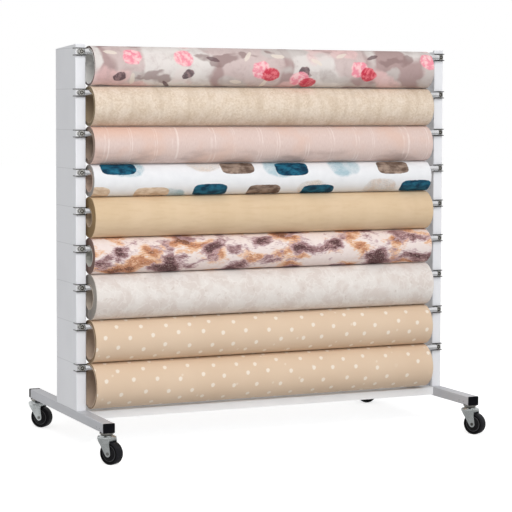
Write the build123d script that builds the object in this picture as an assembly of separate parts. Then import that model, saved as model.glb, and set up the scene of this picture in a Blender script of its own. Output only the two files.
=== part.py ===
"""Mobile display rack for nine rolls of cloth.

Two folded sheet-metal uprights stand on box-section feet with swivel casters. A folded
shelf ties the feet together. Nine chrome tubes are screwed between the uprights, and
each tube carries one roll of cloth that hangs on it by the inside of its cardboard core.

Millimetres, +Z up, X across the rack, -Y is the front. The origin is on the floor, at
the centre of the rack's width and halfway along its depth over the casters.
"""
from build123d import *
import math
import os

# Uprights
UPRIGHT_DEPTH = 225.0
UPRIGHT_FLANGE = 38.0
UPRIGHT_LIP = 12.0
UPRIGHT_SHEET = 2.0
UPRIGHT_BEND = 3.0
UPRIGHT_ABOVE_ROLLS = 7.0
UPRIGHT_TOP_FALL = 12.0

# Feet and their end caps
FOOT_WIDTH = 43.0
FOOT_HEIGHT = 34.0
FOOT_WALL = 2.0
FOOT_CORNER = 3.0
FOOT_FRONT = 285.0
FOOT_BACK = 340.0
FRONT_CAP_HEAD = 3.0
BACK_CAP_HEAD = 20.0
CAP_FACE = 3.0
CAP_PLUG = 5.0
CAP_PLUG_WALL = 2.5
CAP_CLEARANCE = 0.2

# Shelf between the feet
SHELF_BELOW_FOOT_TOP = 0.5
SHELF_LIP = 29.5
SHELF_SHEET = 2.0
SHELF_BEND = 3.0
SHELF_FRONT = 20.0
SHELF_END_CLEARANCE = 0.4

# Casters, their swivel axes set back from the ends of the feet
CASTER_HEIGHT = 110.0
FRONT_SETBACK = 25.0
BACK_SETBACK = 33.5
CASTER_TRAIL = 21.0
WHEEL_DIAMETER = 80.0
TREAD_WIDTH = 36.0
TREAD_SHOULDER_WIDTH = 4.5
TREAD_SHOULDER_DEPTH = 4.0
HUB_RADIUS = 29.0
HUB_RIM_WIDTH = 30.0
HUB_BOSS_RADIUS = 9.5
FORK_SHEET = 2.5
FORK_END_RADIUS = 11.5
FORK_SIDE_CLEARANCE = 0.5
FORK_WHEEL_CLEARANCE = 2.0
LEG_BEHIND_SWIVEL = 21.0
LEG_AHEAD_OF_SWIVEL = 25.0
LEG_SHOULDER = 13.0
CROWN_RADIUS = 33.0
CROWN_BOSS_RADIUS = 24.0
CROWN_STEP = 5.0
CROWN_SKIRT = 10.0
AXLE_RADIUS = 4.0
AXLE_HEAD_RADIUS = 5.6
AXLE_HEAD = 1.6
RUNNING_CLEARANCE = 0.05
RACE_RADIUS = 25.0
RACE_THICKNESS = 4.0
RACE_GAP = 4.0
RACE_RING_RADIUS = 21.0
RACE_RING_CLEARANCE = 0.3
STEM_RADIUS = 5.0
STEM_CLEARANCE = 0.2
STEM_BEYOND_NUT = 3.0
STEM_NUT_WIDTH = 16.0
STEM_NUT = 8.0
KINGPIN_RADIUS = 6.0
KINGPIN_HEAD_RADIUS = 9.0
KINGPIN_HEAD = 3.0
KINGPIN_END_CLEARANCE = 0.3

# Each caster's side of the rack, its end of the foot, and the way it trails, in degrees from +X
CASTERS = {
    "front_left": (-1, -1, -58.0),
    "front_right": (1, -1, -60.0),
    "back_left": (-1, 1, -49.0),
    "back_right": (1, 1, 168.0),
}

# Hanging rods, their brackets and knob screws
ROD_RADIUS = 10.0
ROD_WALL = 1.5
TONGUE_THICKNESS = 2.0
TONGUE_HALF_HEIGHT = 8.0
TONGUE_INTO_ROD = 8.0
TONGUE_PAST_KNOB = 4.0
BRACKET_PLATE = 2.5
BRACKET_RIM = 3.0
BRACKET_RIM_REACH = 8.0
BRACKET_RIM_CLEARANCE = 0.6
BRACKET_PAST_FLANGE = 2.0
BRACKET_FROM_CORNER = 1.0
FINGER_LENGTH = 27.0
FINGER_THICKNESS = 1.5
KNOB_INSET = 18.0
KNOB_RADIUS = 9.5
KNOB_HEAD = 11.0
KNOB_SLOT_WIDTH = 2.4
KNOB_SLOT_DEPTH = 2.5
KNOB_ROD_GAP = 0.8

# Rolls of cloth, from the top: outer radius, then the wall of cloth and core together
ROLLS = [
    (70.5, 9.5),
    (71.0, 12.5),
    (67.0, 15.0),
    (57.5, 18.5),
    (72.5, 39.5),
    (64.5, 28.5),
    (81.5, 38.0),
    (76.5, 14.0),
    (82.25, 7.0),
]
ROLL_LENGTH = 1370.0
ROLL_FROM_LEFT_FLANGE = 6.0
ROLL_FROM_RIGHT_FLANGE = 48.0
ROLL_SPACING = 1.0
ROLL_ABOVE_SHELF = 9.0
ROLL_ROD_CLEARANCE = 0.3
CORE_WALL = 2.5
CLOTH_EDGE = 1.6

# Places that follow from the sizes above
RACK_WIDTH = 2 * UPRIGHT_FLANGE + ROLL_FROM_LEFT_FLANGE + ROLL_LENGTH + ROLL_FROM_RIGHT_FLANGE
HALF_WIDTH = RACK_WIDTH / 2
FLANGE_INNER_X = HALF_WIDTH - UPRIGHT_FLANGE
UPRIGHT_X = HALF_WIDTH - UPRIGHT_FLANGE / 2
FOOT_INNER_X = HALF_WIDTH - FOOT_WIDTH
FOOT_X = HALF_WIDTH - FOOT_WIDTH / 2
FOOT_BOTTOM = CASTER_HEIGHT
FOOT_TOP = FOOT_BOTTOM + FOOT_HEIGHT
SHELF_TOP = FOOT_TOP - SHELF_BELOW_FOOT_TOP
WHEEL_RADIUS = WHEEL_DIAMETER / 2
FORK_GAP = TREAD_WIDTH + 2 * (FORK_WHEEL_CLEARANCE + FORK_SIDE_CLEARANCE)
RACE_BOTTOM = FOOT_BOTTOM - RACE_THICKNESS
CROWN_TOP = RACE_BOTTOM - RACE_GAP
CROWN_PLATE = CROWN_TOP - CROWN_STEP
CROWN_BOTTOM = CROWN_PLATE - FORK_SHEET


def trailing_reach(angle):
    """How far a caster that trails at this angle reaches in front of its swivel axis."""
    forward = abs(math.sin(math.radians(angle)))
    sideways = abs(math.cos(math.radians(angle)))
    return (CASTER_TRAIL + WHEEL_RADIUS) * forward + TREAD_WIDTH / 2 * sideways


# The front plane of the uprights, with the origin halfway along the depth over the casters
FRONT_REACH = FOOT_FRONT - FRONT_SETBACK + trailing_reach(CASTERS["front_left"][2])
BACK_REACH = UPRIGHT_DEPTH + FOOT_BACK + max(0.0, CROWN_RADIUS - BACK_SETBACK)
FLANGE_Y = (FRONT_REACH - BACK_REACH) / 2
UPRIGHT_Y = FLANGE_Y + UPRIGHT_DEPTH / 2
UPRIGHT_BACK_Y = FLANGE_Y + UPRIGHT_DEPTH
FOOT_FRONT_Y = FLANGE_Y - FOOT_FRONT
FOOT_BACK_Y = UPRIGHT_BACK_Y + FOOT_BACK
PLATE_Y = FLANGE_Y - BRACKET_PLATE
TONGUE_Y = PLATE_Y - TONGUE_THICKNESS
ROD_Y = PLATE_Y - ROD_RADIUS
KNOB_X = HALF_WIDTH - KNOB_INSET
ROD_END_X = KNOB_X - KNOB_RADIUS - KNOB_ROD_GAP
ROLL_LEFT_X = -FLANGE_INNER_X + ROLL_FROM_LEFT_FLANGE


def hanging_heights():
    """The height of each roll's axis and of its rod, stacked up from the shelf."""
    heights = []
    bottom = SHELF_TOP + ROLL_ABOVE_SHELF
    for radius, wall in reversed(ROLLS):
        axis = bottom + radius
        rod = axis + radius - wall - ROLL_ROD_CLEARANCE - ROD_RADIUS
        heights.insert(0, (axis, rod))
        bottom = axis + radius + ROLL_SPACING
    return heights


HEIGHTS = hanging_heights()
ROD_HEIGHTS = [rod for _, rod in HEIGHTS]
UPRIGHT_TOP = HEIGHTS[0][0] + ROLLS[0][0] + UPRIGHT_ABOVE_ROLLS


def block(x, y, z):
    """A block between two places along each axis."""
    middle = Pos(sum(x) / 2, sum(y) / 2, sum(z) / 2)
    return middle * Box(abs(x[1] - x[0]), abs(y[1] - y[0]), abs(z[1] - z[0]))


def cylinder_along(direction, start, radius, length):
    """A cylinder that starts at a point and runs in a direction."""
    return Plane(origin=start, z_dir=direction) * extrude(Circle(radius), length)


def hexagon_along(direction, start, width, length):
    """A hexagonal prism, its width across the flats, that starts at a point."""
    outline = RegularPolygon(width / 2, 6, major_radius=False)
    return Plane(origin=start, z_dir=direction) * extrude(outline, length)


def on_both_sides(shape):
    """The shape as made for the right of the rack, and its mirror image on the left."""
    return [shape, mirror(shape, about=Plane.YZ)]


def upright():
    """The right upright: a lipped channel that opens inwards, with a sloping top."""
    outer = fillet(Rectangle(UPRIGHT_FLANGE, UPRIGHT_DEPTH).vertices(), UPRIGHT_BEND)
    room = Rectangle(UPRIGHT_FLANGE - 2 * UPRIGHT_SHEET, UPRIGHT_DEPTH - 2 * UPRIGHT_SHEET)
    inner = fillet(room.vertices(), UPRIGHT_BEND - UPRIGHT_SHEET)
    mouth = Pos(-UPRIGHT_FLANGE / 2, 0) * Rectangle(
        4 * UPRIGHT_SHEET, UPRIGHT_DEPTH - 2 * UPRIGHT_LIP
    )
    place = Pos(UPRIGHT_X, UPRIGHT_Y, FOOT_TOP)
    channel = place * extrude(outer - inner - mouth, UPRIGHT_TOP - FOOT_TOP)
    tab = place * extrude(inner, UPRIGHT_SHEET)
    fall = Polyline(
        (FLANGE_Y - UPRIGHT_SHEET, UPRIGHT_TOP),
        (FLANGE_Y, UPRIGHT_TOP),
        (UPRIGHT_BACK_Y, UPRIGHT_TOP - UPRIGHT_TOP_FALL),
        (UPRIGHT_BACK_Y + UPRIGHT_SHEET, UPRIGHT_TOP - UPRIGHT_TOP_FALL),
        (UPRIGHT_BACK_Y + UPRIGHT_SHEET, UPRIGHT_TOP + UPRIGHT_SHEET),
        (FLANGE_Y - UPRIGHT_SHEET, UPRIGHT_TOP + UPRIGHT_SHEET),
        close=True,
    )
    cut_x = FLANGE_INNER_X - UPRIGHT_SHEET
    wedge = Plane.YZ.offset(cut_x) * extrude(make_face(fall), UPRIGHT_FLANGE + 2 * UPRIGHT_SHEET)
    return channel + tab - wedge


def swivel_places():
    """The swivel axes along Y, at the front and at the back."""
    return (FOOT_FRONT_Y + FRONT_SETBACK, FOOT_BACK_Y - BACK_SETBACK)


def foot_section():
    """The outline of a foot's tube."""
    return fillet(Rectangle(FOOT_WIDTH, FOOT_HEIGHT).vertices(), FOOT_CORNER)


def between_along_foot(outline, first_y, second_y):
    """An outline on the centre line of the right foot, drawn out between two places."""
    place = Plane(
        origin=(FOOT_X, min(first_y, second_y), FOOT_BOTTOM + FOOT_HEIGHT / 2),
        x_dir=(-1, 0, 0),
        z_dir=(0, 1, 0),
    )
    return place * extrude(outline, abs(second_y - first_y))


def foot():
    """The right foot: a box section with holes for the caster stems."""
    inner = fillet(
        Rectangle(FOOT_WIDTH - 2 * FOOT_WALL, FOOT_HEIGHT - 2 * FOOT_WALL).vertices(),
        FOOT_CORNER - FOOT_WALL,
    )
    shape = between_along_foot(
        foot_section() - inner, FOOT_FRONT_Y + FRONT_CAP_HEAD, FOOT_BACK_Y - BACK_CAP_HEAD
    )
    for y in swivel_places():
        hole = (FOOT_X, y, FOOT_BOTTOM)
        shape -= cylinder_along((0, 0, 1), hole, STEM_RADIUS + STEM_CLEARANCE, FOOT_WALL)
    return shape


def foot_cap(end_y, inwards, head):
    """A moulded cap: a head that covers the tube's end, and a hollow plug inside it."""
    width = FOOT_WIDTH - 2 * (FOOT_WALL + CAP_CLEARANCE)
    height = FOOT_HEIGHT - 2 * (FOOT_WALL + CAP_CLEARANCE)
    plug = fillet(Rectangle(width, height).vertices(), FOOT_CORNER - FOOT_WALL)
    hollow = Rectangle(width - 2 * CAP_PLUG_WALL, height - 2 * CAP_PLUG_WALL)
    seat = end_y + inwards * head
    plug_end = seat + inwards * CAP_PLUG
    back_of_face = end_y + inwards * CAP_FACE
    shape = between_along_foot(foot_section(), end_y, seat)
    shape += between_along_foot(plug, seat, plug_end)
    return shape - between_along_foot(hollow, back_of_face, plug_end)


def shelf():
    """A sheet folded down at the front and the back, with end plates against the feet."""
    end_x = FOOT_INNER_X - SHELF_END_CLEARANCE
    front = FLANGE_Y - SHELF_FRONT
    outside = block((-end_x, end_x), (front, UPRIGHT_BACK_Y), (SHELF_TOP - SHELF_LIP, SHELF_TOP))
    folds = outside.edges().filter_by(Axis.X).group_by(Axis.Z)[-1]
    outside = fillet(folds, SHELF_BEND)
    room = block(
        (-end_x + SHELF_SHEET, end_x - SHELF_SHEET),
        (front + SHELF_SHEET, UPRIGHT_BACK_Y - SHELF_SHEET),
        (SHELF_TOP - SHELF_LIP, SHELF_TOP - SHELF_SHEET),
    )
    return outside - room


def bracket(z):
    """A rod's bracket on the right: a rimmed plate whose rims hook round the upright."""
    rim_low = ROD_RADIUS + BRACKET_RIM_CLEARANCE
    rim_high = rim_low + BRACKET_RIM
    inner_x = FLANGE_INNER_X - BRACKET_PAST_FLANGE
    shape = block(
        (inner_x, HALF_WIDTH - BRACKET_FROM_CORNER), (PLATE_Y, FLANGE_Y), (z - rim_high, z + rim_high)
    )
    outer_x = HALF_WIDTH + FINGER_THICKNESS
    front = FLANGE_Y - BRACKET_RIM_REACH
    for side in (-1, 1):
        rim = (z + side * rim_low, z + side * rim_high)
        shape += block((inner_x, outer_x), (front, FLANGE_Y), rim)
        shape += block((HALF_WIDTH, outer_x), (front, FLANGE_Y + FINGER_LENGTH), rim)
    return shape


def rod(z):
    """A chrome tube with a flat tongue at each end, under its knob screw."""
    section = Circle(ROD_RADIUS) - Circle(ROD_RADIUS - ROD_WALL)
    shape = Plane(origin=(-ROD_END_X, ROD_Y, z), z_dir=(1, 0, 0)) * extrude(
        section, 2 * ROD_END_X
    )
    tongue = block(
        (ROD_END_X - TONGUE_INTO_ROD, KNOB_X + TONGUE_PAST_KNOB),
        (TONGUE_Y, PLATE_Y),
        (z - TONGUE_HALF_HEIGHT, z + TONGUE_HALF_HEIGHT),
    )
    for side in on_both_sides(tongue):
        shape += side
    return shape


def knob_screw(z):
    """The round head of the screw at a rod's right end, with a slot across it."""
    head = cylinder_along((0, -1, 0), (KNOB_X, TONGUE_Y, z), KNOB_RADIUS, KNOB_HEAD)
    face_y = TONGUE_Y - KNOB_HEAD
    return head - block(
        (KNOB_X - KNOB_SLOT_WIDTH / 2, KNOB_X + KNOB_SLOT_WIDTH / 2),
        (face_y, face_y + KNOB_SLOT_DEPTH),
        (z - KNOB_RADIUS, z + KNOB_RADIUS),
    )


def turned(points):
    """A solid of revolution about the vertical, from an outline of radius and height."""
    return revolve(Plane.XZ * make_face(Polyline(*points, close=True)), Axis.Z)


def caster_stem():
    """Stem with its nut, upper race with the ring of its ball track, and kingpin."""
    nut_seat = FOOT_BOTTOM + FOOT_WALL
    top = nut_seat + STEM_NUT + STEM_BEYOND_NUT
    ring_bottom = CROWN_TOP + RACE_RING_CLEARANCE
    under_crown = CROWN_BOTTOM - KINGPIN_END_CLEARANCE
    pin = turned(
        [
            (0, top),
            (STEM_RADIUS, top),
            (STEM_RADIUS, FOOT_BOTTOM),
            (RACE_RADIUS, FOOT_BOTTOM),
            (RACE_RADIUS, RACE_BOTTOM),
            (RACE_RING_RADIUS, RACE_BOTTOM),
            (RACE_RING_RADIUS, ring_bottom),
            (KINGPIN_RADIUS, ring_bottom),
            (KINGPIN_RADIUS, under_crown),
            (KINGPIN_HEAD_RADIUS, under_crown),
            (KINGPIN_HEAD_RADIUS, under_crown - KINGPIN_HEAD),
            (0, under_crown - KINGPIN_HEAD),
        ]
    )
    return pin + hexagon_along((0, 0, 1), (0, 0, nut_seat), STEM_NUT_WIDTH, STEM_NUT)


def fork():
    """A fork: a stepped round crown with a skirt, and two tapering legs."""
    bore = KINGPIN_RADIUS + RUNNING_CLEARANCE
    slope = CROWN_STEP / 2
    inside = CROWN_RADIUS - FORK_SHEET
    crown = turned(
        [
            (bore, CROWN_TOP),
            (CROWN_BOSS_RADIUS - slope, CROWN_TOP),
            (CROWN_BOSS_RADIUS + slope, CROWN_PLATE),
            (inside, CROWN_PLATE),
            (CROWN_RADIUS, CROWN_BOTTOM),
            (CROWN_RADIUS, CROWN_PLATE - CROWN_SKIRT),
            (inside, CROWN_PLATE - CROWN_SKIRT),
            (inside, CROWN_BOTTOM),
            (bore, CROWN_BOTTOM),
        ]
    )
    eye = Pos(CASTER_TRAIL, WHEEL_RADIUS) * Circle(FORK_END_RADIUS)
    leg_top = CROWN_PLATE - FORK_SHEET / 2
    shoulder = Pos(
        (LEG_AHEAD_OF_SWIVEL - LEG_BEHIND_SWIVEL) / 2, leg_top - LEG_SHOULDER / 2
    ) * Rectangle(LEG_AHEAD_OF_SWIVEL + LEG_BEHIND_SWIVEL, LEG_SHOULDER)
    outline = make_hull(eye.edges() + shoulder.edges())
    outline -= Pos(CASTER_TRAIL, WHEEL_RADIUS) * Circle(AXLE_RADIUS)
    leg = Plane.XZ.offset(FORK_GAP / 2) * extrude(outline, FORK_SHEET)
    return crown + leg + mirror(leg, about=Plane.XZ)


def about_axle(points):
    """A solid of revolution about the wheel's axle, from an outline of offset and radius."""
    spun = revolve(make_face(Polyline(*points, close=True)), Axis.X)
    return Pos(CASTER_TRAIL, 0, WHEEL_RADIUS) * Rot(0, 0, 90) * spun


def axle():
    """A rivet through both legs, with a flat head at each end."""
    outer = FORK_GAP / 2 + FORK_SHEET
    end = outer + AXLE_HEAD
    return about_axle(
        [
            (-end, 0),
            (end, 0),
            (end, AXLE_HEAD_RADIUS),
            (outer, AXLE_HEAD_RADIUS),
            (outer, AXLE_RADIUS),
            (-outer, AXLE_RADIUS),
            (-outer, AXLE_HEAD_RADIUS),
            (-end, AXLE_HEAD_RADIUS),
        ]
    )


def hub():
    """The wheel's hub: a bored boss whose cone widens to the rim under the tyre."""
    boss = FORK_GAP / 2 - FORK_SIDE_CLEARANCE
    rim = HUB_RIM_WIDTH / 2
    bore = AXLE_RADIUS + RUNNING_CLEARANCE
    right = [(boss, bore), (boss, HUB_BOSS_RADIUS), (rim, HUB_RADIUS)]
    left = [(-offset, radius) for offset, radius in reversed(right)]
    return about_axle(right + left)


def tyre():
    """The tyre: a band of rubber with sloping shoulders."""
    side = TREAD_WIDTH / 2
    right = [
        (side, HUB_RADIUS),
        (side, WHEEL_RADIUS - TREAD_SHOULDER_DEPTH),
        (side - TREAD_SHOULDER_WIDTH, WHEEL_RADIUS),
    ]
    left = [(-offset, radius) for offset, radius in reversed(right)]
    return about_axle(right + left)


def wound_outline(radius, edge):
    """A spiral of one turn in two half-turn arcs, with a step where the cloth ends.

    The step is at the back and faces up, and the roll is a little heavier below its axis.
    """
    above = ThreePointArc(
        (-(radius - edge / 2), 0), (-edge / 4, radius - 3 * edge / 4), (radius - edge, 0)
    )
    below = ThreePointArc(
        (radius, 0), (edge / 4, -(radius - edge / 4)), (-(radius - edge / 2), 0)
    )
    step = Line((radius - edge, 0), (radius, 0))
    return make_face([above, step, below])


def roll(axis_z, radius, wall):
    """A roll's core and its cloth, with the free edge of the cloth at the back."""
    bore = radius - wall
    place = Plane(origin=(ROLL_LEFT_X, ROD_Y, axis_z), x_dir=(0, 1, 0), z_dir=(1, 0, 0))
    core = place * extrude(Circle(bore + CORE_WALL) - Circle(bore), ROLL_LENGTH)
    cloth = place * extrude(
        wound_outline(radius, CLOTH_EDGE) - Circle(bore + CORE_WALL), ROLL_LENGTH
    )
    return core, cloth


def save(name, *shapes):
    """Write one node: its solids, side by side, in one file."""
    solids = [solid for shape in shapes for solid in shape.solids()]
    whole = solids[0] if len(solids) == 1 else Compound(solids)
    whole.label = name
    export_step(whole, os.path.join("parts", name + ".step"))


def save_frame():
    """Uprights, feet, caps and the shelf."""
    for name, make in (("upright", upright), ("foot", foot)):
        right, left = on_both_sides(make())
        save(name + "_right", right)
        save(name + "_left", left)
    caps = on_both_sides(foot_cap(FOOT_FRONT_Y, 1, FRONT_CAP_HEAD))
    caps += on_both_sides(foot_cap(FOOT_BACK_Y, -1, BACK_CAP_HEAD))
    save("foot_end_caps", *caps)
    save("bottom_shelf", shelf())


def save_hangers():
    """Brackets, knob screws and rods."""
    right = [bracket(z) for z in ROD_HEIGHTS]
    save("brackets_right", *right)
    save("brackets_left", *[mirror(shape, about=Plane.YZ) for shape in right])
    save("knob_screws", *[shape for z in ROD_HEIGHTS for shape in on_both_sides(knob_screw(z))])
    save("hanging_rods", *[rod(z) for z in ROD_HEIGHTS])


def save_casters():
    """Four casters, each turned to the way it trails."""
    made = {
        "caster_fork": fork(),
        "caster_axle": axle(),
        "caster_hub": hub(),
        "caster_tyre": tyre(),
    }
    stem = caster_stem()
    stems = []
    for name, (side, end, angle) in CASTERS.items():
        y = swivel_places()[0 if end < 0 else 1]
        swivel = Pos(side * FOOT_X, y, 0)
        for node, shape in made.items():
            save(f"{node}_{name}", swivel * Rot(0, 0, angle) * shape)
        stems.append(swivel * stem)
    save("caster_stems", *stems)


def save_rolls():
    """Nine rolls, numbered from the top."""
    for number, ((radius, wall), (axis_z, _)) in enumerate(zip(ROLLS, HEIGHTS), start=1):
        core, cloth = roll(axis_z, radius, wall)
        save(f"roll_core_{number}", core)
        save(f"roll_cloth_{number}", cloth)


def main():
    """Write every node of the rack."""
    os.makedirs("parts", exist_ok=True)
    save_frame()
    save_hangers()
    save_casters()
    save_rolls()


main()
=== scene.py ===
"""Mobile display rack with nine rolls of cloth: its materials, its cloth, the light and the camera.

Metres, +Z up, X across the rack, -Y is the front. Places and sizes come from the frame.
"""
import math

import bpy
from mathutils import Matrix, Vector, noise


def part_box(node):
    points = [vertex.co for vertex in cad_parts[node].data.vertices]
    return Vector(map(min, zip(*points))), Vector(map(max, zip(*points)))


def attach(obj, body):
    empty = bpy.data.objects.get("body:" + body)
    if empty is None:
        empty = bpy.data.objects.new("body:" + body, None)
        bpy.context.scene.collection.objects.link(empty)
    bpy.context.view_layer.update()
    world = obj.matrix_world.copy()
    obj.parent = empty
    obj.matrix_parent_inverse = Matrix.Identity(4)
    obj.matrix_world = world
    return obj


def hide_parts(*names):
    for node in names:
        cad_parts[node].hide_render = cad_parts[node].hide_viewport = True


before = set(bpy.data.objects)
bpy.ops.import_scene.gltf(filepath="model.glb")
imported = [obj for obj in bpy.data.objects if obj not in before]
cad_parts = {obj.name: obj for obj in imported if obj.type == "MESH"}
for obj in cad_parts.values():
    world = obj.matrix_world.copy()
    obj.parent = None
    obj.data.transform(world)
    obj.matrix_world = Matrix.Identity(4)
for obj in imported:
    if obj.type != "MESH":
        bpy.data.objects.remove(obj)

# Camera, as fitted to the photograph
CAMERA_PLACE = Vector((-2.8076, -6.1879, 1.231))
CAMERA_YAW = 0.4272
CAMERA_PITCH = 0.0559
CAMERA_ROLL = 0.003
CAMERA_LENS = 126.24
CAMERA_SHIFT_Y = -0.09384

# Light, floor and studio cards
WORLD_STRENGTH = 0.46
FLOOR_REACH = 30.0
FLOOR_TONE = 0.7
FLOOR_GLOW = 0.69
KEY_PLACE = Vector((-1.4, -6.5, 5.2))
KEY_AIM = Vector((0.0, 0.0, 0.7))
KEY_SIZE = 5.0
KEY_POWER = 430.0
CARD_Y = -7.5
LOW_CARD_HEIGHT = 0.004

# Painted shade lines on the outer webs, painted shade on the bracket rims, and screws of the feet
WEB_INSIDE = 0.7485
SLOT_SHADE_ABOVE_CORE = 0.0003
SLOT_SHADE_HALF_WIDTH = 0.0006
ROD_BELOW_CORE = 0.0128
RIM_FROM_ROD = 0.0106
SCREW_PLACES = (-0.3375, -0.368)
SCREW_HEIGHT = 0.1222
SCREW_RADIUS = 0.0018

# Radii of the painted shade ring on a knob, of the painted highlight line on a hub and of a tyre's
# tread, worn and with a painted highlight
KNOB_X = 0.732
KNOB_SHADE_RING = (0.0036, 0.0070)
PAINTED_HIGHLIGHT_LINE = (0.0302, 0.0322)
WORN_AND_HIGHLIT_TREAD = 0.0392
RING_SOFTNESS = 0.0004

# Rounding of the edges of sheets, tubes, plates, caps, knobs, hubs and tyres
SHEET_EDGE = 0.0006
TUBE_EDGE = 0.0005
PLATE_EDGE = 0.0004
CAP_EDGE = 0.0008
KNOB_EDGE = 0.0009
HUB_EDGE = 0.0006
TYRE_EDGE = 0.0012

# Cloth rolls, numbered from the top
ROLL_NUMBERS = range(1, 10)
CORE_SEAM_PITCH = 0.11
SHELL_STEPS_ALONG = 68
STEPS_PER_TURN = 72
RIDGE_POINTS = 4
GROOVE_DEPTH = 0.0018
WANDER = 0.0009
RIM_DEPTH = 0.0004
CLOTH_SWELL = 0.00046
UNDULATION = 0.0001
EDGE_DEPTH = 0.0016
EDGE_RUN = 0.16


def paint(red, green, blue):
    """A screen colour, 0 to 255, as linear light."""
    levels = [value / 255 for value in (red, green, blue)]
    return tuple(v / 12.92 if v <= 0.04045 else ((v + 0.055) / 1.055) ** 2.4 for v in levels)


def scaled(colour, factor):
    """A colour made darker or paler by a factor."""
    return tuple(min(1.0, factor * value) for value in colour)


WHITE_COAT = paint(236, 237, 241)
GREY_COAT = paint(193, 194, 199)
SHELF_COAT = paint(243, 243, 244)
# Painted shade on the bracket rims and the knob faces
PAINTED_SHADE_PLATE = paint(62, 59, 55)
HUB_BLACK = paint(20, 20, 22)
TYRE_BLACK = paint(9, 9, 10)


class Material:
    """A procedural material. What its methods take is a number, a colour or a node's output."""

    def __init__(self, name, roughness, metallic=0.0, specular=0.5):
        self.made = bpy.data.materials.new(name)
        self.made.use_nodes = True
        self.tree = self.made.node_tree
        self.surface = self.tree.nodes["Principled BSDF"]
        self.surface.inputs["Roughness"].default_value = roughness
        self.surface.inputs["Metallic"].default_value = metallic
        self.surface.inputs["Specular IOR Level"].default_value = specular

    def feed(self, socket, value):
        """Link an output to a socket, or set the socket to a value."""
        if isinstance(value, bpy.types.NodeSocket):
            self.tree.links.new(value, socket)
        elif socket.type == "RGBA" and len(value) == 3:
            socket.default_value = (*value, 1.0)
        else:
            socket.default_value = value

    def node(self, kind, inputs, **settings):
        """A new node with its settings and inputs."""
        made = self.tree.nodes.new("ShaderNode" + kind)
        for name, value in settings.items():
            setattr(made, name, value)
        for name, value in inputs.items():
            self.feed(made.inputs[name], value)
        return made

    def math(self, operation, first, second=0.0):
        """One sum of two values."""
        return self.node("Math", {0: first, 1: second}, operation=operation).outputs[0]

    def apart(self, first, second):
        """How far two values are apart."""
        return self.math("ABSOLUTE", self.math("SUBTRACT", first, second))

    def vector(self, operation, first, second=(0.0, 0.0, 0.0)):
        """One sum of two vectors."""
        made = self.node("VectorMath", {0: first, 1: second}, operation=operation)
        return made.outputs["Value" if operation == "LENGTH" else "Vector"]

    def parts(self, vector):
        """The X, Y and Z of a vector."""
        return self.node("SeparateXYZ", {0: vector}).outputs

    def joined(self, x, y, z=0.0):
        """A vector from its X, Y and Z."""
        return self.node("CombineXYZ", {0: x, 1: y, 2: z}).outputs[0]

    def stretched(self, vector, x, y, z=1.0):
        """A vector with each part times a factor."""
        return self.vector("MULTIPLY", vector, (x, y, z))

    def turned(self, vector, angle):
        """A vector turned about Z."""
        return self.node(
            "VectorRotate", {"Vector": vector, "Angle": angle}, rotation_type="Z_AXIS"
        ).outputs[0]

    def between(self, value, low, high):
        """A value of 0 to 1, spread from low to high."""
        return self.node("MapRange", {"Value": value, "To Min": low, "To Max": high}).outputs[0]

    def step(self, value, low, high):
        """0 at low, 1 at high, and a soft step between them; low may be the larger."""
        return self.node(
            "MapRange",
            {"Value": value, "From Min": low, "From Max": high},
            interpolation_type="SMOOTHSTEP",
        ).outputs[0]

    def above(self, chance, least):
        """1 where a cell's chance value is above the least one, 0 in the other cells."""
        return self.step(chance, least, least + 0.01)

    def ring(self, reach, inner, outer):
        """1 where a distance lies between two radii, 0 inside and outside them."""
        return self.math(
            "MULTIPLY",
            self.step(reach, inner - RING_SOFTNESS, inner + RING_SOFTNESS),
            self.step(reach, outer + RING_SOFTNESS, outer - RING_SOFTNESS),
        )

    def mix(self, amount, first, second):
        """The first colour, covered by the second one to an amount of 0 to 1."""
        made = self.node("Mix", {0: amount}, data_type="RGBA")
        self.feed(made.inputs[6], first)
        self.feed(made.inputs[7], second)
        return made.outputs[2]

    def wash(self, under, mask, strength, over):
        """A colour under a wash of another one, which has its full strength where the mask is 1."""
        return self.mix(self.math("MULTIPLY", mask, strength), under, over)

    def noise(self, vector, scale, detail=2.0, roughness=0.5):
        """A cloudy noise of about 0.3 to 0.7."""
        return self.node(
            "TexNoise",
            {"Vector": vector, "Scale": scale, "Detail": detail, "Roughness": roughness},
        ).outputs["Fac"]

    def patches(self, vector, scale, detail, low, high, roughness=0.5):
        """Soft patches of 0 to 1, where a noise rises from low to high."""
        return self.step(self.noise(vector, scale, detail, roughness), low, high)

    def shaken(self, vector, scale, amount):
        """A vector pushed about by a noise, for edges that look painted."""
        cloud = self.node("TexNoise", {"Vector": vector, "Scale": scale, "Detail": 3.0})
        push = self.vector("SUBTRACT", cloud.outputs["Color"], (0.5, 0.5, 0.5))
        return self.vector("ADD", vector, self.vector("MULTIPLY", push, (amount, amount, 0.0)))

    def cells(self, vector, width, height, jitter, seed):
        """The place inside its cell, and three chance values of the cell.

        The cells lie in rows, every other row moved along by half a cell.
        """
        along, around, _ = self.parts(vector)
        row = self.math("FLOOR", self.math("DIVIDE", around, height))
        shift = self.math("MULTIPLY", self.math("FRACT", self.math("MULTIPLY", row, 0.5)), width)
        moved = self.math("ADD", along, shift)
        column = self.math("FLOOR", self.math("DIVIDE", moved, width))
        corner = self.vector("MULTIPLY", self.joined(column, row), (width, height, 0.0))
        centre = self.vector("ADD", corner, (width / 2, height / 2, 0.0))
        local = self.vector("SUBTRACT", self.joined(moved, around), centre)
        chance = self.node("TexWhiteNoise", {"Vector": self.joined(column, row, seed)})
        push = self.vector("SUBTRACT", chance.outputs["Color"], (0.5, 0.5, 0.5))
        local = self.vector("ADD", local, self.vector("MULTIPLY", push, (jitter, jitter, 0.0)))
        return local, self.parts(chance.outputs["Color"])

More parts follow.
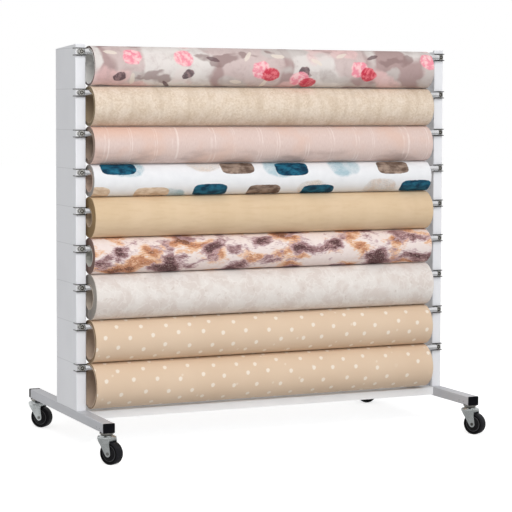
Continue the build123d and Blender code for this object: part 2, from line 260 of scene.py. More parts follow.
    def oval(self, local, half_length, half_width, softness):
        """1 inside an oval at the cell's place, 0 outside it."""
        reach = self.vector("LENGTH", self.vector("DIVIDE", local, (half_length, half_width, 1.0)))
        return self.step(reach, 1 + softness, 1 - softness)

    def colour(self, value):
        """Set the surface's colour."""
        self.feed(self.surface.inputs["Base Color"], value)
        return self

    def rough(self, value):
        """Set a roughness that varies over the surface."""
        self.feed(self.surface.inputs["Roughness"], value)
        return self

    def bump(self, height, distance):
        """Raise the surface by a height of 0 to 1 times a distance in metres."""
        made = self.node("Bump", {"Height": height, "Distance": distance, "Strength": 1.0})
        self.feed(self.surface.inputs["Normal"], made.outputs[0])
        return self

    def finish(self, shader):
        """Show another shader in place of the surface's own."""
        self.feed(self.tree.nodes["Material Output"].inputs["Surface"], shader)


def object_place(material):
    """Where a point of the surface lies, in metres."""
    return material.node("TexCoord", {}).outputs["Object"]


def from_point(material, place, centre):
    """How far a place is from a centre."""
    return material.vector("LENGTH", material.vector("SUBTRACT", place, tuple(centre)))


def from_cores(material, height, offset):
    """How far a height is from the nearest level that lies at an offset from the top of a core."""
    nearest = 1.0
    for number in ROLL_NUMBERS:
        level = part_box(f"roll_core_{number}")[1].z + offset
        nearest = material.math("MINIMUM", nearest, material.apart(height, level))
    return nearest


def painted_slot_shade(material, place):
    """Painted shade: a thin dark level line across the outer webs at each bracket's upper rim, drawn as
    the shade of a slot.
    """
    across, _, height = material.parts(place)
    outside = material.step(material.math("ABSOLUTE", across), WEB_INSIDE, WEB_INSIDE + 0.0005)
    away = from_cores(material, height, SLOT_SHADE_ABOVE_CORE)
    slot_shade_lines = material.step(away, 2 * SLOT_SHADE_HALF_WIDTH, SLOT_SHADE_HALF_WIDTH)
    return material.math("MULTIPLY", material.math("MULTIPLY", slot_shade_lines, outside), 0.25)


def foot_screws(material, place):
    """Small dark screw heads on the sides of the feet, near the front casters."""
    marks = 0.0
    for y in SCREW_PLACES:
        aside = material.vector("SUBTRACT", place, (0.0, y, SCREW_HEIGHT))
        reach = material.vector("LENGTH", material.stretched(aside, 0.0, 1.0))
        head = material.step(reach, SCREW_RADIUS + 0.0006, SCREW_RADIUS)
        marks = material.math("MAXIMUM", marks, head)
    return material.math("MULTIPLY", marks, 0.9)


def painted_rim_shade(material, place):
    """Painted shade on the rims above and below each rod."""
    height = material.parts(place)[2]
    away = from_cores(material, height, -ROD_BELOW_CORE)
    return material.step(away, RIM_FROM_ROD - 0.0003, RIM_FROM_ROD + 0.0001)


def painted_knob_shade(material, place):
    """A ring of painted shade on each knob's face, round its bright middle."""
    across, _, height = material.parts(place)
    aside = material.apart(material.math("ABSOLUTE", across), KNOB_X)
    away = from_cores(material, height, -ROD_BELOW_CORE)
    reach = material.vector("LENGTH", material.joined(aside, away))
    return material.ring(reach, *KNOB_SHADE_RING)


def powder_coat(name, colour, dark_marks=None):
    """Satin powder coat with fine orange peel, a breath of dust and, where given, dark marks."""
    material = Material(name, roughness=0.42)
    place = object_place(material)
    dust = material.patches(place, scale=5.0, detail=4.0, low=0.4, high=0.75)
    tone = material.mix(dust, colour, scaled(colour, 0.965))
    # Where given, dark marks: painted shade lines on the webs, and real screw heads on the feet.
    if dark_marks:
        tone = material.mix(dark_marks(material, place), tone, scaled(colour, 0.2))
    material.colour(tone)
    material.rough(material.between(material.noise(place, scale=30.0), low=0.36, high=0.5))
    return material.bump(material.noise(place, scale=650.0), distance=0.00006)


def chrome(name, colour, smooth, worn, dark_marks=None):
    """Bright plated steel with faint drawing marks, dull smears and, where given, dark marks of painted
    shade.
    """
    material = Material(name, smooth, metallic=1.0)
    place = object_place(material)
    smear = material.patches(place, scale=22.0, detail=3.0, low=0.45, high=0.75)
    tone = material.mix(smear, colour, scaled(colour, worn))
    # Painted shade: the dark marks take a dark plate tone.
    if dark_marks:
        tone = material.mix(dark_marks(material, place), tone, PAINTED_SHADE_PLATE)
    material.colour(tone)
    drawing = material.noise(material.stretched(place, 12.0, 700.0, 700.0), scale=1.0, detail=3.0)
    return material.rough(material.math("ADD", smooth, material.math("MULTIPLY", drawing, 0.08)))


def zinc(name, deep, pale):
    """Zinc plate with a cloudy spangle, between a deep and a pale tone."""
    material = Material(name, roughness=0.3, metallic=1.0)
    place = object_place(material)
    spangle = material.node("TexVoronoi", {"Vector": place, "Scale": 260.0}).outputs["Color"]
    cloud = material.patches(place, scale=30.0, detail=3.0, low=0.35, high=0.65)
    material.colour(material.wash(material.mix(cloud, deep, pale), spangle, 0.05, deep))
    return material.rough(material.between(cloud, low=0.24, high=0.3))


def moulded(name, colour, rough, specular):
    """Moulded plastic or rubber with a fine grain and a little dust."""
    material = Material(name, rough, specular=specular)
    place = object_place(material)
    dust = material.patches(place, scale=45.0, detail=4.0, low=0.5, high=0.8)
    material.colour(material.mix(dust, colour, tuple(1.4 * value + 0.0012 for value in colour)))
    return material.bump(material.noise(place, scale=1400.0), distance=0.00008)


def wheel_hub(name, centre):
    """A black hub with a painted grey highlight line round its rim."""
    material = moulded(name, HUB_BLACK, rough=0.4, specular=0.12)
    place = object_place(material)
    # Painted highlight: a grey line round the rim, mottled between two greys.
    line = material.ring(from_point(material, place, centre), *PAINTED_HIGHLIGHT_LINE)
    grey_mottle = material.noise(place, scale=90.0, detail=3.0)
    worn = material.mix(grey_mottle, paint(60, 60, 63), paint(96, 96, 99))
    return material.colour(material.mix(line, HUB_BLACK, worn))


def wheel_tyre(name, centre):
    """A black tyre whose tread is grey, partly from wear and partly as a painted highlight."""
    material = moulded(name, TYRE_BLACK, rough=0.45, specular=0.08)
    place = object_place(material)
    # The grey tread: partly wear, partly a painted highlight.
    tread = material.step(from_point(material, place, centre), WORN_AND_HIGHLIT_TREAD, WORN_AND_HIGHLIT_TREAD + 0.001)
    grey_mottle = material.noise(place, scale=70.0, detail=4.0)
    worn = material.mix(grey_mottle, paint(20, 20, 23), paint(38, 38, 42))
    return material.colour(material.mix(tread, TYRE_BLACK, worn))


def cardboard(name, axis, colour):
    """A wound cardboard core: a spiral seam on a fibrous surface."""
    material = Material(name, roughness=0.85, specular=0.2)
    place = material.vector("SUBTRACT", object_place(material), tuple(axis))
    along, across, up = material.parts(place)
    turn = material.math("DIVIDE", material.math("ARCTAN2", up, across), 2 * math.pi)
    advance = material.math("DIVIDE", along, CORE_SEAM_PITCH)
    winding = material.math("FRACT", material.math("ADD", turn, advance))
    seam = material.step(material.apart(winding, 0.5), 0.012, 0.006)
    fibre = material.noise(material.stretched(place, 60.0, 400.0, 400.0), scale=1.0, detail=4.0)
    body = material.mix(fibre, colour, scaled(colour, 1.2))
    material.colour(material.wash(body, seam, 0.6, scaled(colour, 0.4)))
    return material.bump(fibre, distance=0.0002)


def wound_edge(name, colour):
    """The cut edge of the wound cloth, turn on turn."""
    material = Material(name, roughness=0.9, specular=0.2)
    place = object_place(material)
    fray = material.noise(material.stretched(place, 300.0, 500.0, 500.0), scale=1.0, detail=4.0)
    material.colour(material.mix(fray, scaled(colour, 0.5), colour))
    return material.bump(fray, distance=0.0004)


def cloth(name, rough=0.8):
    """A cloth material, and the place on the cloth: metres along the roll and round it."""
    material = Material(name, rough, specular=0.12)
    return material, material.node("UVMap", {}, uv_map="cloth_metres").outputs[0]


def weave(material, place, pitch):
    """The crossing threads of a weave, 0 to 1."""
    along, around, _ = material.parts(place)
    wave = 2 * math.pi / pitch
    warp = material.math("SINE", material.math("MULTIPLY", along, wave))
    weft = material.math("SINE", material.math("MULTIPLY", around, wave))
    both = material.math("MULTIPLY", warp, weft)
    return material.math("ADD", material.math("MULTIPLY", both, 0.5), 0.5)


def watery_fields(material, painted):
    """Fields of mauve, taupe and pale grey that run into each other."""
    cloud = material.noise(painted, scale=9.0, detail=4.0, roughness=0.6)
    ground = material.mix(cloud, paint(196, 174, 171), paint(214, 200, 197))
    for offset, (x, y), level, softness, colour, strength in (
        ((0.7, 0.0, 2.0), (3.2, 0.9), 0.5, 0.02, paint(166, 140, 138), 0.8),
        ((4.4, 0.0, 6.0), (3.4, 1.6), 0.5, 0.03, paint(226, 221, 217), 0.85),
        ((8.1, 3.0, 9.0), (6.0, 7.5), 0.55, 0.06, paint(200, 192, 188), 0.8),
        ((2.2, 5.0, 4.0), (9.0, 13.0), 0.6, 0.05, paint(140, 116, 114), 0.7),
        ((1.2, 9.0, 7.0), (4.0, 6.0), 0.6, 0.06, paint(234, 196, 194), 0.7),
    ):
        moved = material.vector("ADD", material.stretched(painted, x, y), offset)
        cloud = material.noise(moved, scale=1.0, detail=2.0, roughness=0.4)
        ground = material.wash(ground, material.step(cloud, level, level + softness), strength, colour)
    stain = material.patches(painted, scale=24.0, detail=5.0, low=0.45, high=0.7, roughness=0.65)
    return material.wash(ground, stain, 0.3, paint(158, 134, 132))


def slim_leaves(material, place, ground):
    """Scattered slim leaves, most of them pale, on a ground."""
    shaken = material.shaken(place, scale=40.0, amount=0.01)
    local, chance = material.cells(shaken, width=0.13, height=0.1, jitter=0.06, seed=3.0)
    tilted = material.turned(local, material.math("MULTIPLY", chance[0], 2 * math.pi))
    leaf = material.oval(tilted, half_length=0.026, half_width=0.0085, softness=0.12)
    shown = material.math("MULTIPLY", leaf, material.above(chance[1], 0.4))
    tone = material.mix(material.above(chance[2], 0.75), paint(228, 216, 204), paint(104, 80, 84))
    return material.wash(ground, shown, 0.8, tone)


def round_blossoms(material, place, painted, ground):
    """Brushed round blossoms in dusk, soft pink and deep pink, on a ground."""
    brushed = material.shaken(material.vector("ADD", place, (0.0, 0.1, 0.0)), scale=26.0, amount=0.026)
    streak = material.patches(painted, scale=55.0, detail=4.0, low=0.42, high=0.62, roughness=0.6)
    dusk = material.mix(streak, paint(84, 66, 72), paint(140, 114, 116))
    soft = material.mix(streak, paint(238, 140, 158), paint(247, 200, 202))
    deep = material.mix(streak, paint(198, 44, 66), paint(230, 112, 124))
    for seed, shift, size, least, tone in (
        (17.0, (0.03, 0.0, 0.0), 0.022, 0.55, dusk),
        (12.0, (0.0, 0.0, 0.0), 0.037, 0.0, soft),
        (12.0, (-0.038, 0.018, 0.0), 0.032, 0.35, deep),
    ):
        local, chance = material.cells(brushed, width=0.24, height=0.2, jitter=0.09, seed=seed)
        moved = material.vector("ADD", local, shift)
        reach = material.vector("LENGTH", material.vector("DIVIDE", moved, (size, 0.85 * size, 1.0)))
        petals = material.step(reach, 1.12, 0.9)
        shown = material.math("MULTIPLY", petals, material.above(chance[1], least))
        ground = material.wash(ground, shown, 0.9, tone)
    return ground


def blossom_cloth():
    """Watery fields of mauve, taupe and pale grey, with round blossoms and slim leaves."""
    material, place = cloth("cloth_blossoms")
    painted = material.shaken(place, scale=14.0, amount=0.05)
    ground = slim_leaves(material, place, watery_fields(material, painted))
    material.colour(round_blossoms(material, place, painted, ground))
    return material.bump(weave(material, place, pitch=0.0016), distance=0.00008)


def slub_cloth():
    """Beige, finely mottled, with faint streaks."""
    material, place = cloth("cloth_slub", rough=0.85)
    fleck = material.patches(place, scale=120.0, detail=5.0, low=0.34, high=0.68, roughness=0.72)
    tone = material.mix(fleck, paint(206, 186, 164), paint(228, 213, 196))
    shaken = material.shaken(place, scale=20.0, amount=0.03)
    patch = material.patches(shaken, scale=26.0, detail=5.0, low=0.4, high=0.62, roughness=0.65)
    tone = material.wash(tone, patch, 0.4, paint(232, 220, 207))
    moved = material.vector("ADD", material.stretched(place, 26.0, 5.0), (2.0, 0.0, 0.0))
    streak = material.patches(moved, scale=1.0, detail=3.0, low=0.46, high=0.7)
    tone = material.wash(tone, streak, 0.4, paint(192, 170, 146))
    cloud = material.patches(place, scale=9.0, detail=3.0, low=0.5, high=0.7)
    material.colour(material.wash(tone, cloud, 0.3, paint(196, 174, 150)))
    return material.bump(material.noise(place, scale=240.0, detail=4.0), distance=0.0004)


def linen_cloth():
    """Pale pink linen with thin pale double lines round the roll."""
    material, place = cloth("cloth_linen")
    along, around, _ = material.parts(place)
    thread = material.noise(material.stretched(place, 420.0, 70.0), scale=1.0, detail=4.0)
    tone = material.mix(thread, paint(204, 178, 170), paint(228, 210, 203))
    warm = material.patches(place, scale=7.0, detail=4.0, low=0.46, high=0.68)
    tone = material.wash(tone, warm, 0.4, paint(222, 184, 164))
    upper_left = material.math(
        "MULTIPLY", material.step(along, 0.5, 0.05), material.step(around, 0.0, 0.06)
    )
    tone = material.wash(tone, upper_left, 0.4, paint(226, 174, 144))
    # Darker towards the bottom: streaky patches darken the roll below its front line.
    drawn_out = material.stretched(place, 7.0, 22.0)
    streaky_patches = material.patches(drawn_out, scale=1.0, detail=4.0, low=0.48, high=0.68)
    lower = material.math("MULTIPLY", streaky_patches, material.step(around, 0.0, -0.05))
    tone = material.wash(tone, lower, 0.6, paint(172, 150, 144))
    drift = material.noise(material.stretched(place, 5.0, 0.25), scale=1.0)
    line_place = material.math("ADD", along, material.math("MULTIPLY", drift, 0.22))
    worn = material.patches(place, scale=26.0, detail=3.0, low=0.34, high=0.6)
    for offset, strength in ((0.0, 0.5), (0.013, 0.3)):
        moved = material.math("ADD", line_place, offset)
        share = material.math("FRACT", material.math("DIVIDE", moved, 0.1))
        line = material.step(material.apart(share, 0.5), 0.034, 0.008)
        faded = material.math("MULTIPLY", line, worn)
        tone = material.wash(tone, faded, strength, paint(242, 231, 226))
    material.colour(tone)
    return material.bump(thread, distance=0.0003)


def pale_patches(material, place, ground):
    """Pale ovals in tan and blue under a veil, speckled with blue, on a ground."""
    shaken = material.shaken(place, scale=14.0, amount=0.03)
    local, chance = material.cells(shaken, width=0.29, height=0.12, jitter=0.05, seed=21.0)
    oval = material.oval(local, half_length=0.066, half_width=0.044, softness=0.12)
    patch = material.math("MULTIPLY", oval, material.above(chance[0], 0.25))
    tone = material.mix(material.above(chance[1], 0.5), paint(216, 196, 180), paint(160, 190, 200))
    veil = material.patches(place, scale=22.0, detail=4.0, low=0.35, high=0.6, roughness=0.6)
    tone = material.wash(tone, veil, 0.6, paint(224, 226, 228))
    ground = material.wash(ground, patch, 0.85, tone)
    speckle = material.patches(place, scale=300.0, detail=3.0, low=0.52, high=0.6)
    return material.wash(ground, material.math("MULTIPLY", speckle, patch), 0.4, paint(98, 134, 154))


def painted_pebbles(material, place, ground):
    """Rounded blocks brushed in deep, earthy and pale tones, on a ground."""
    shaken = material.shaken(place, scale=60.0, amount=0.005)
    local, chance = material.cells(shaken, width=0.22, height=0.096, jitter=0.03, seed=5.0)
    x, y, _ = material.parts(material.vector("DIVIDE", local, (0.066, 0.032, 1.0)))
    reach = material.math(
        "ADD",
        material.math("POWER", material.math("ABSOLUTE", x), 4.0),
        material.math("POWER", material.math("ABSOLUTE", y), 4.0),
    )
    pebble = material.step(reach, 1.08, 0.94)
    shown = material.math("MULTIPLY", pebble, material.above(chance[1], 0.3))
    drawn_out = material.stretched(place, 26.0, 44.0)
    stroke = material.patches(drawn_out, scale=1.0, detail=5.0, low=0.36, high=0.66, roughness=0.6)
    deep = material.mix(stroke, paint(20, 52, 74), paint(38, 106, 132))
    earthy = material.mix(stroke, paint(98, 80, 70), paint(164, 144, 130))
    pale = material.mix(stroke, paint(202, 176, 150), paint(228, 210, 190))
    tone = material.mix(material.above(chance[2], 0.5), deep, earthy)
    tone = material.mix(material.above(chance[2], 0.8), tone, pale)
    return material.mix(shown, ground, tone)


def pebble_cloth():
    """White, with painted pebbles in navy, teal, taupe and tan over pale speckled patches."""
    material, place = cloth("cloth_pebbles", rough=0.7)
    cloud = material.noise(place, scale=30.0, detail=3.0)
    ground = material.mix(cloud, paint(222, 223, 226), paint(236, 237, 239))
    ground = pale_patches(material, place, ground)
    material.colour(painted_pebbles(material, place, ground))
    return material.bump(weave(material, place, pitch=0.0014), distance=0.00006)


def fine_cloth():
    """Golden tan with a fine weave."""
    material, place = cloth("cloth_fine", rough=0.6)
    cloud = material.noise(place, scale=5.0, detail=4.0)
    tone = material.mix(cloud, paint(208, 181, 146), paint(230, 207, 176))
    drawn_round = material.stretched(place, 9.0, 1.2)
    band = material.patches(drawn_round, scale=1.0, detail=4.0, low=0.42, high=0.64)
    tone = material.wash(tone, band, 0.3, paint(232, 208, 180))
    drawn_out = material.stretched(place, 14.0, 60.0)
    mottle = material.patches(drawn_out, scale=1.0, detail=4.0, low=0.45, high=0.7)
    tone = material.wash(tone, mottle, 0.2, paint(196, 166, 130))
    thread = material.noise(material.stretched(place, 420.0, 900.0), scale=1.0)
    material.colour(material.wash(tone, thread, 0.3, paint(192, 164, 130)))
    return material.bump(weave(material, place, pitch=0.0012), distance=0.00006)


def blotch_cloth():
    """Cream pink under ochre washes and ragged level strokes in mauve, rust and plum."""
    material, place = cloth("cloth_blotches", rough=0.75)
    ragged = material.shaken(material.shaken(place, scale=9.0, amount=0.05), scale=110.0, amount=0.008)
    level_strokes = material.stretched(ragged, 0.6, 1.0)
    bristles = material.stretched(ragged, 60.0, 230.0)
    bristle = material.noise(bristles, scale=1.0, detail=3.0, roughness=0.6)
    dry = material.math("MULTIPLY", material.math("SUBTRACT", bristle, 0.5), 0.28)
    grain = material.noise(place, scale=60.0, detail=4.0)
    tone = material.mix(grain, paint(226, 210, 205), paint(240, 229, 225))
    layers = (
        ((6.0, 2.0, 3.0), 12.0, (
            (0.48, 0.05, paint(226, 176, 132), 0.8),
            (0.545, 0.03, paint(184, 122, 88), 0.85),
            (0.615, 0.03, paint(118, 78, 62), 0.9),
        )),
        ((0.0, 7.3, 9.0), 14.0, (
            (0.5, 0.03, paint(194, 166, 170), 0.85),
            (0.545, 0.03, paint(140, 104, 106), 0.9),
            (0.605, 0.03, paint(88, 60, 62), 0.95),
        )),
    )
    for offset, scale, washes in layers:
        cloud = material.noise(material.vector("ADD", level_strokes, offset), scale)
        cloud = material.math("ADD", cloud, dry)
        for level, softness, colour, strength in washes:
            patch = material.step(cloud, level, level + softness)
            tone = material.wash(tone, patch, strength, colour)
    speckle = material.patches(place, scale=230.0, detail=3.0, low=0.56, high=0.66)
    material.colour(material.wash(tone, speckle, 0.45, paint(232, 212, 200)))
    return material.bump(material.noise(place, scale=300.0, detail=3.0), distance=0.0002)


def vein_cloth():
    """Ivory grey with soft greige clouds under faint pale outlines."""
    material, place = cloth("cloth_veins", rough=0.7)
    soft = material.shaken(place, scale=10.0, amount=0.05)
    cloud = material.patches(soft, scale=14.0, detail=4.0, low=0.42, high=0.6, roughness=0.6)
    tone = material.wash(paint(229, 223, 218), cloud, 0.5, paint(208, 193, 185))
    line = material.step(material.apart(material.noise(soft, scale=19.0, detail=3.0), 0.5), 0.03, 0.008)
    tone = material.wash(tone, line, 0.34, paint(243, 239, 235))
    fleck = material.patches(soft, scale=44.0, detail=4.0, low=0.6, high=0.7, roughness=0.65)
    tone = material.wash(tone, fleck, 0.4, paint(186, 168, 156))
    fibre = material.noise(material.stretched(place, 300.0, 90.0), scale=1.0, detail=4.0)
    material.colour(material.wash(tone, fibre, 0.25, paint(200, 190, 182)))
    return material.bump(cloud, distance=0.0003)


def dotted_cloth(name, seed):
    """Beige with off-white dots in staggered rows, and a few fainter ones between them."""
    material, place = cloth(name, rough=0.55)
    cloud = material.noise(place, scale=5.0, detail=3.0)
    tone = material.mix(cloud, paint(214, 188, 162), paint(227, 205, 181))
    thread = material.noise(material.stretched(place, 600.0, 600.0), scale=1.0)
    tone = material.wash(tone, thread, 0.2, paint(204, 177, 149))
    for width, height, jitter, radius, strength, least in (
        (0.090, 0.042, 0.018, 0.0076, 0.66, 0.0),
        (0.135, 0.063, 0.050, 0.0045, 0.3, 0.5),
    ):
        local, chance = material.cells(place, width, height, jitter, seed)
        seed += 10.0
        shaken = material.shaken(local, scale=60.0, amount=0.006)
        dot = material.oval(shaken, half_length=0.92 * radius, half_width=1.08 * radius, softness=0.2)
        shown = material.math("MULTIPLY", dot, material.above(chance[2], least))
        tone = material.wash(tone, shown, strength, paint(243, 236, 226))
    material.colour(tone)
    return material.bump(weave(material, place, pitch=0.0013), distance=0.00006)


class Roll:
    """What the frame says of one roll. A turn is counted from the core, and starts at the back."""

    def __init__(self, number):
        self.number = number
        self.body = f"roll_{number}"
        self.node = f"roll_cloth_{number}"
        low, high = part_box(f"roll_core_{number}")
        self.axis = (low + high) / 2
        self.core = (high.y - low.y) / 2
        self.left = low.x
        self.right = high.x
        cloth_low, cloth_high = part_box(self.node)
        self.radius = cloth_high.y - self.axis.y
        edge = 2 * (self.radius - (self.axis.y - cloth_low.y))
        self.turns = max(1, round((self.radius - self.core) / edge))
        self.pitch = (self.radius - self.core) / self.turns

    def outer(self, turn):
        """The radius of the cloth's outer face after that many turns."""
        return self.core + self.pitch * turn

    def skin(self, turn):
        """The radius of the outermost face, which dips to the layer below next to the free edge."""
        run = min(1.0, (turn - (self.turns - 1)) / EDGE_RUN)
        return self.radius + CLOTH_SWELL - EDGE_DEPTH * (1 - run * run * (3 - 2 * run))

    def recess(self, turn, inwards):
        """How far the edge of a turn lies within the roll's end."""
        wave = 1 + math.sin(2.3 * turn + 3 * self.number)
        drift = 1 + noise.noise(Vector((turn * 1.7, self.number, inwards)))
        return WANDER * (wave + drift) / 2

    def rim(self, turn, inwards):
        """The radius of a turn's outer rim, and its depth within the roll's end."""
        if turn >= self.turns - 1:
            return self.skin(turn), self.recess(turn, inwards) + RIM_DEPTH
        return self.outer(turn), self.recess(turn, inwards) + GROOVE_DEPTH

    def point(self, x, radius, turn):
        """A point of the roll; turns run from the back over the top."""
        angle = 2 * math.pi * turn
        return (
            x,
            self.axis.y + radius * math.cos(angle),
            self.axis.z + radius * math.sin(angle),
        )

    def around(self, turn):
        """Metres round the outside, from the front line upwards."""
        last = turn - (self.turns - 1)
        return (0.5 - last) * 2 * math.pi * self.radius


def shell(roll, points, faces, places):
    """The outer turn of the cloth, and its free edge along the back."""
    first = len(points)
    columns = SHELL_STEPS_ALONG + 1
    for row in range(STEPS_PER_TURN + 1):
        turn = roll.turns - 1 + row / STEPS_PER_TURN
        angle = 2 * math.pi * turn
        left = roll.left + roll.rim(turn, 1)[1]
        right = roll.right - roll.rim(turn, -1)[1]
        for column in range(columns):
            x = left + (right - left) * column / SHELL_STEPS_ALONG
            seed = Vector((x * 6.0, 1.3 * math.cos(angle), 1.3 * math.sin(angle) + 7.0 * roll.number))
            inner = min(1, column, SHELL_STEPS_ALONG - column)
            sink = inner * UNDULATION * (1 + noise.noise(seed)) / 2
            points.append(roll.point(x, roll.skin(turn) - sink, turn))
            places.append((x - roll.left, roll.around(turn)))
    for row in range(STEPS_PER_TURN):
        for column in range(SHELL_STEPS_ALONG):
            a = first + row * columns + column
            faces.append((a, a + columns, a + columns + 1, a + 1))
    edge = len(points)
    for row in (0, STEPS_PER_TURN):
        for column in range(columns):
            points.append(points[first + row * columns + column])
            places.append(places[first + STEPS_PER_TURN * columns + column])
    for column in range(SHELL_STEPS_ALONG):
        a = edge + column
        faces.append((a, a + 1, a + columns + 1, a + columns))


def wound_end(roll, end_x, inwards, points, faces, places):
    """The spiral that the turns show at one end, each turn a ridge that starts on the last one's rim.

    Gives the number of its first point, which lies on the core.
    """
    first = len(points)
    steps = roll.turns * STEPS_PER_TURN
    for step in range(steps + 1):
        turn = step / STEPS_PER_TURN
        recess = roll.recess(turn, inwards)
        inside, inside_depth = roll.core, recess + GROOVE_DEPTH
        if turn >= 1:
            inside, inside_depth = roll.rim(turn - 1, inwards)
        outside, outside_depth = roll.rim(turn, inwards)
        thickness = outside - inside
        ridge = (
            (inside, inside_depth),
            (inside + 0.25 * thickness, recess),
            (outside - 0.1 * thickness, recess),
            (outside, outside_depth),
        )
        for radius, depth in ridge:
            points.append(roll.point(end_x + inwards * depth, radius, turn))
            places.append((0.0, 0.0))
    made = []
    for step in range(steps):
        for side in range(RIDGE_POINTS - 1):
            a = first + RIDGE_POINTS * step + side
            made.append((a, a + RIDGE_POINTS, a + RIDGE_POINTS + 1, a + 1))
    a = first + RIDGE_POINTS * steps
    made.append((a + 3, a + 2, a + 1, a))
    faces.extend(corners if inwards > 0 else corners[::-1] for corners in made)
    return first


def inner_face(left, right, faces):
    """The face on the core, between the first turns of the two wound ends."""
    for step in range(STEPS_PER_TURN):
        a = left + RIDGE_POINTS * step
        b = right + RIDGE_POINTS * step
        faces.append((a, b, b + RIDGE_POINTS, a + RIDGE_POINTS))


def placed(name, points, faces, materials):
    """A new mesh piece in the scene."""
    mesh = bpy.data.meshes.new(name)
    mesh.from_pydata(points, [], faces)
    for material in materials:
        mesh.materials.append(material.made)
    piece = bpy.data.objects.new(name, mesh)
    bpy.context.scene.collection.objects.link(piece)
    return piece


def cloth_piece(roll, face_material, edge_material):
    """One roll's cloth: its outer turn, its two wound ends and its inner face on the core."""
    points, faces, places = [], [], []
    shell(roll, points, faces, places)
    outer_faces = len(faces)
    left = wound_end(roll, roll.left, 1, points, faces, places)
    right = wound_end(roll, roll.right, -1, points, faces, places)
    inner_face(left, right, faces)
    piece = placed(f"cloth_{roll.number}", points, faces, (face_material, edge_material))
    layer = piece.data.uv_layers.new(name="cloth_metres")
    for loop in piece.data.loops:
        layer.data[loop.index].uv = places[loop.vertex_index]
    for index, polygon in enumerate(piece.data.polygons):
        polygon.material_index = 0 if index < outer_faces else 1
        polygon.use_smooth = index < outer_faces
    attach(piece, roll.body)
    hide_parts(roll.node)


def dress(name, material, edge=0.0):
    """Give a frame node its material, and rounded edges where they would catch the light."""
    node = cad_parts[name]
    node.data.materials.clear()
    node.data.materials.append(material.made)
    if edge:
        weld = node.modifiers.new("weld", "WELD")
        weld.merge_threshold = 0.00001
        rounding = node.modifiers.new("rounding", "BEVEL")
        rounding.width = edge
        rounding.segments = 2
        rounding.limit_method = "ANGLE"
        rounding.angle_limit = math.radians(35)
        rounding.harden_normals = True


def rolls():
    """Nine rolls of cloth on their cores: the cloth, the colour of its cut edge and of the core."""
    cloths = {
        1: (blossom_cloth(), paint(158, 142, 138), paint(230, 228, 224)),
        2: (slub_cloth(), paint(182, 164, 136), paint(178, 158, 132)),
        3: (linen_cloth(), paint(190, 168, 156), paint(178, 158, 142)),
        4: (pebble_cloth(), paint(200, 192, 186), paint(206, 182, 166)),
        5: (fine_cloth(), paint(184, 154, 114), paint(196, 174, 150)),
        6: (blotch_cloth(), paint(160, 132, 122), paint(206, 204, 196)),
        7: (vein_cloth(), paint(198, 190, 182), paint(206, 192, 178)),
        8: (dotted_cloth("cloth_dots_small", 2.0), paint(186, 158, 128), paint(206, 184, 164)),
        9: (dotted_cloth("cloth_dots_large", 5.0), paint(186, 158, 128), paint(206, 184, 164)),
    }
    for number in ROLL_NUMBERS:
        roll = Roll(number)
        face, edge_colour, core_colour = cloths[number]
        cloth_piece(roll, face, wound_edge(f"cloth_edge_{number}", edge_colour))
        dress(f"roll_core_{number}", cardboard(f"cardboard_{number}", roll.axis, core_colour))


def rack():
    """Powder coat on the rack, plate on its rods and brackets, plastic on the caps of its feet."""
    white = powder_coat("white_coat", WHITE_COAT, painted_slot_shade)
    grey = powder_coat("grey_coat", GREY_COAT, foot_screws)
    cap = moulded("black_plastic", paint(14, 14, 18), rough=0.4, specular=0.06)
    knob = chrome("knob_steel", (0.5, 0.49, 0.46), smooth=0.22, worn=0.8, dark_marks=painted_knob_shade)
    bright = chrome("bright_chrome", (0.7, 0.7, 0.71), smooth=0.12, worn=0.85)
    plate = chrome("bracket_plate", (0.82, 0.82, 0.83), smooth=0.18, worn=0.9, dark_marks=painted_rim_shade)
    for side in ("left", "right"):
        dress(f"upright_{side}", white, SHEET_EDGE)
        dress(f"foot_{side}", grey, TUBE_EDGE)
        dress(f"brackets_{side}", plate, PLATE_EDGE)
    dress("bottom_shelf", powder_coat("shelf_coat", SHELF_COAT), SHEET_EDGE)
    dress("foot_end_caps", cap, CAP_EDGE)
    dress("knob_screws", knob, KNOB_EDGE)
    dress("hanging_rods", bright, PLATE_EDGE)


def casters():
    """Zinc plate on stems, forks and rivets, plastic and rubber on the wheels."""
    plated = zinc("bright_zinc", paint(176, 180, 180), paint(188, 192, 192))
    # Painted shade: the stems get a darker copy of the zinc, standing in for the shade and dark
    # reflections round the crowns.
    stem = zinc("stem_zinc_painted_shade", paint(128, 126, 122), paint(150, 148, 144))
    rivet = zinc("rivet_zinc", paint(84, 84, 82), paint(128, 128, 126))
    dress("caster_stems", stem, PLATE_EDGE)
    for place in ("front_left", "front_right", "back_left", "back_right"):
        dress(f"caster_fork_{place}", plated, TUBE_EDGE)
        dress(f"caster_axle_{place}", rivet, PLATE_EDGE)
        low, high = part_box(f"caster_hub_{place}")
        centre = (low + high) / 2
        dress(f"caster_hub_{place}", wheel_hub(f"hub_{place}", centre), HUB_EDGE)
        dress(f"caster_tyre_{place}", wheel_tyre(f"tyre_{place}", centre), TYRE_EDGE)


def world_light():
    """White all round: full to the camera and in reflections, softer as light."""
    world = bpy.data.worlds.new("white_studio")
    world.use_nodes = True
    nodes, links = world.node_tree.nodes, world.node_tree.links
    background = nodes["Background"]
    background.inputs["Color"].default_value = (1.0, 1.0, 1.0, 1.0)
    path = nodes.new("ShaderNodeLightPath")
    seen = path.outputs["Is Camera Ray"]
    for name in ("Is Glossy Ray", "Is Transmission Ray"):
        either = nodes.new("ShaderNodeMath")
        either.operation = "MAXIMUM"
        links.new(seen, either.inputs[0])
        links.new(path.outputs[name], either.inputs[1])
        seen = either.outputs[0]
    level = nodes.new("ShaderNodeMapRange")
    links.new(seen, level.inputs["Value"])
    level.inputs["To Min"].default_value = WORLD_STRENGTH
    level.inputs["To Max"].default_value = 1.0
    links.new(level.outputs[0], background.inputs["Strength"])
    bpy.context.scene.world = world


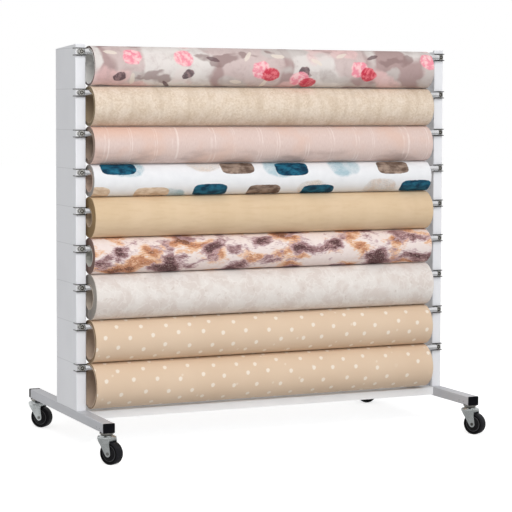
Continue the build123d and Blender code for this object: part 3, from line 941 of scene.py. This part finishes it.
def floor():
    """A pale floor that glows a little to the camera, so that only the shadow shows on it."""
    material = Material("floor_white", roughness=1.0, specular=0.0)
    material.colour((FLOOR_TONE, FLOOR_TONE, FLOOR_TONE))
    path = material.node("LightPath", {})
    seen = material.math("MAXIMUM", path.outputs["Is Camera Ray"], path.outputs["Is Glossy Ray"])
    glow = material.node("Emission", {"Strength": material.math("MULTIPLY", seen, FLOOR_GLOW)})
    both = material.node("AddShader", {0: material.surface.outputs[0], 1: glow.outputs[0]})
    material.finish(both.outputs[0])
    corners = [
        (-FLOOR_REACH, -FLOOR_REACH, 0.0),
        (FLOOR_REACH, -FLOOR_REACH, 0.0),
        (FLOOR_REACH, FLOOR_REACH, 0.0),
        (-FLOOR_REACH, FLOOR_REACH, 0.0),
    ]
    piece = placed("floor", corners, [(0, 1, 2, 3)], [material])


def card(name, corners, tone):
    """A studio card that only reflections show."""
    material = Material(name, roughness=1.0)
    glow = material.node("Emission", {"Color": (tone, tone, tone), "Strength": 1.0})
    material.finish(glow.outputs[0])
    piece = placed(name, corners, [(0, 1, 2, 3)], [material])
    piece.visible_camera = False
    piece.visible_diffuse = False
    piece.visible_shadow = False
    piece.visible_transmission = False


def cards():
    """Dark cards in front, which give the plated parts their contrast."""
    standing = [(3.6, CARD_Y, 0.0), (9.0, CARD_Y, 0.0), (9.0, CARD_Y, 2.6), (3.6, CARD_Y, 2.6)]
    lying = [
        (-5.0, CARD_Y, LOW_CARD_HEIGHT),
        (8.0, CARD_Y, LOW_CARD_HEIGHT),
        (8.0, 0.35, LOW_CARD_HEIGHT),
        (-5.0, 0.35, LOW_CARD_HEIGHT),
    ]
    card("card_right", standing, tone=0.3)
    card("card_low", lying, tone=0.55)


def key_light():
    """One large soft lamp, high in front and to the left, that no plating mirrors."""
    light = bpy.data.lights.new("key", "AREA")
    light.shape = "SQUARE"
    light.size = KEY_SIZE
    light.energy = KEY_POWER
    lamp = bpy.data.objects.new("key", light)
    bpy.context.scene.collection.objects.link(lamp)
    lamp.visible_glossy = False
    lamp.rotation_euler = (KEY_AIM - KEY_PLACE).to_track_quat("-Z", "Y").to_euler()
    lamp.location = KEY_PLACE


def photo_camera():
    """The camera at the photograph's place."""
    level = Vector((math.cos(CAMERA_YAW), -math.sin(CAMERA_YAW), 0.0))
    ahead = Vector((math.sin(CAMERA_YAW), math.cos(CAMERA_YAW), 0.0))
    forward = math.cos(CAMERA_PITCH) * ahead - Vector((0.0, 0.0, math.sin(CAMERA_PITCH)))
    upwards = level.cross(forward)
    right = math.cos(CAMERA_ROLL) * level + math.sin(CAMERA_ROLL) * upwards
    up = math.cos(CAMERA_ROLL) * upwards - math.sin(CAMERA_ROLL) * level
    data = bpy.data.cameras.new("photo_camera")
    data.lens = CAMERA_LENS
    data.shift_y = CAMERA_SHIFT_Y
    camera = bpy.data.objects.new("photo_camera", data)
    bpy.context.scene.collection.objects.link(camera)
    turn = Matrix((right, up, -forward)).transposed().to_4x4()
    camera.matrix_world = Matrix.Translation(CAMERA_PLACE) @ turn
    bpy.context.scene.camera = camera


def main():
    """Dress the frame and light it."""
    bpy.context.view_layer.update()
    bpy.context.scene.view_settings.view_transform = "Standard"
    rack()
    casters()
    rolls()
    floor()
    world_light()
    key_light()
    cards()
    photo_camera()


main()
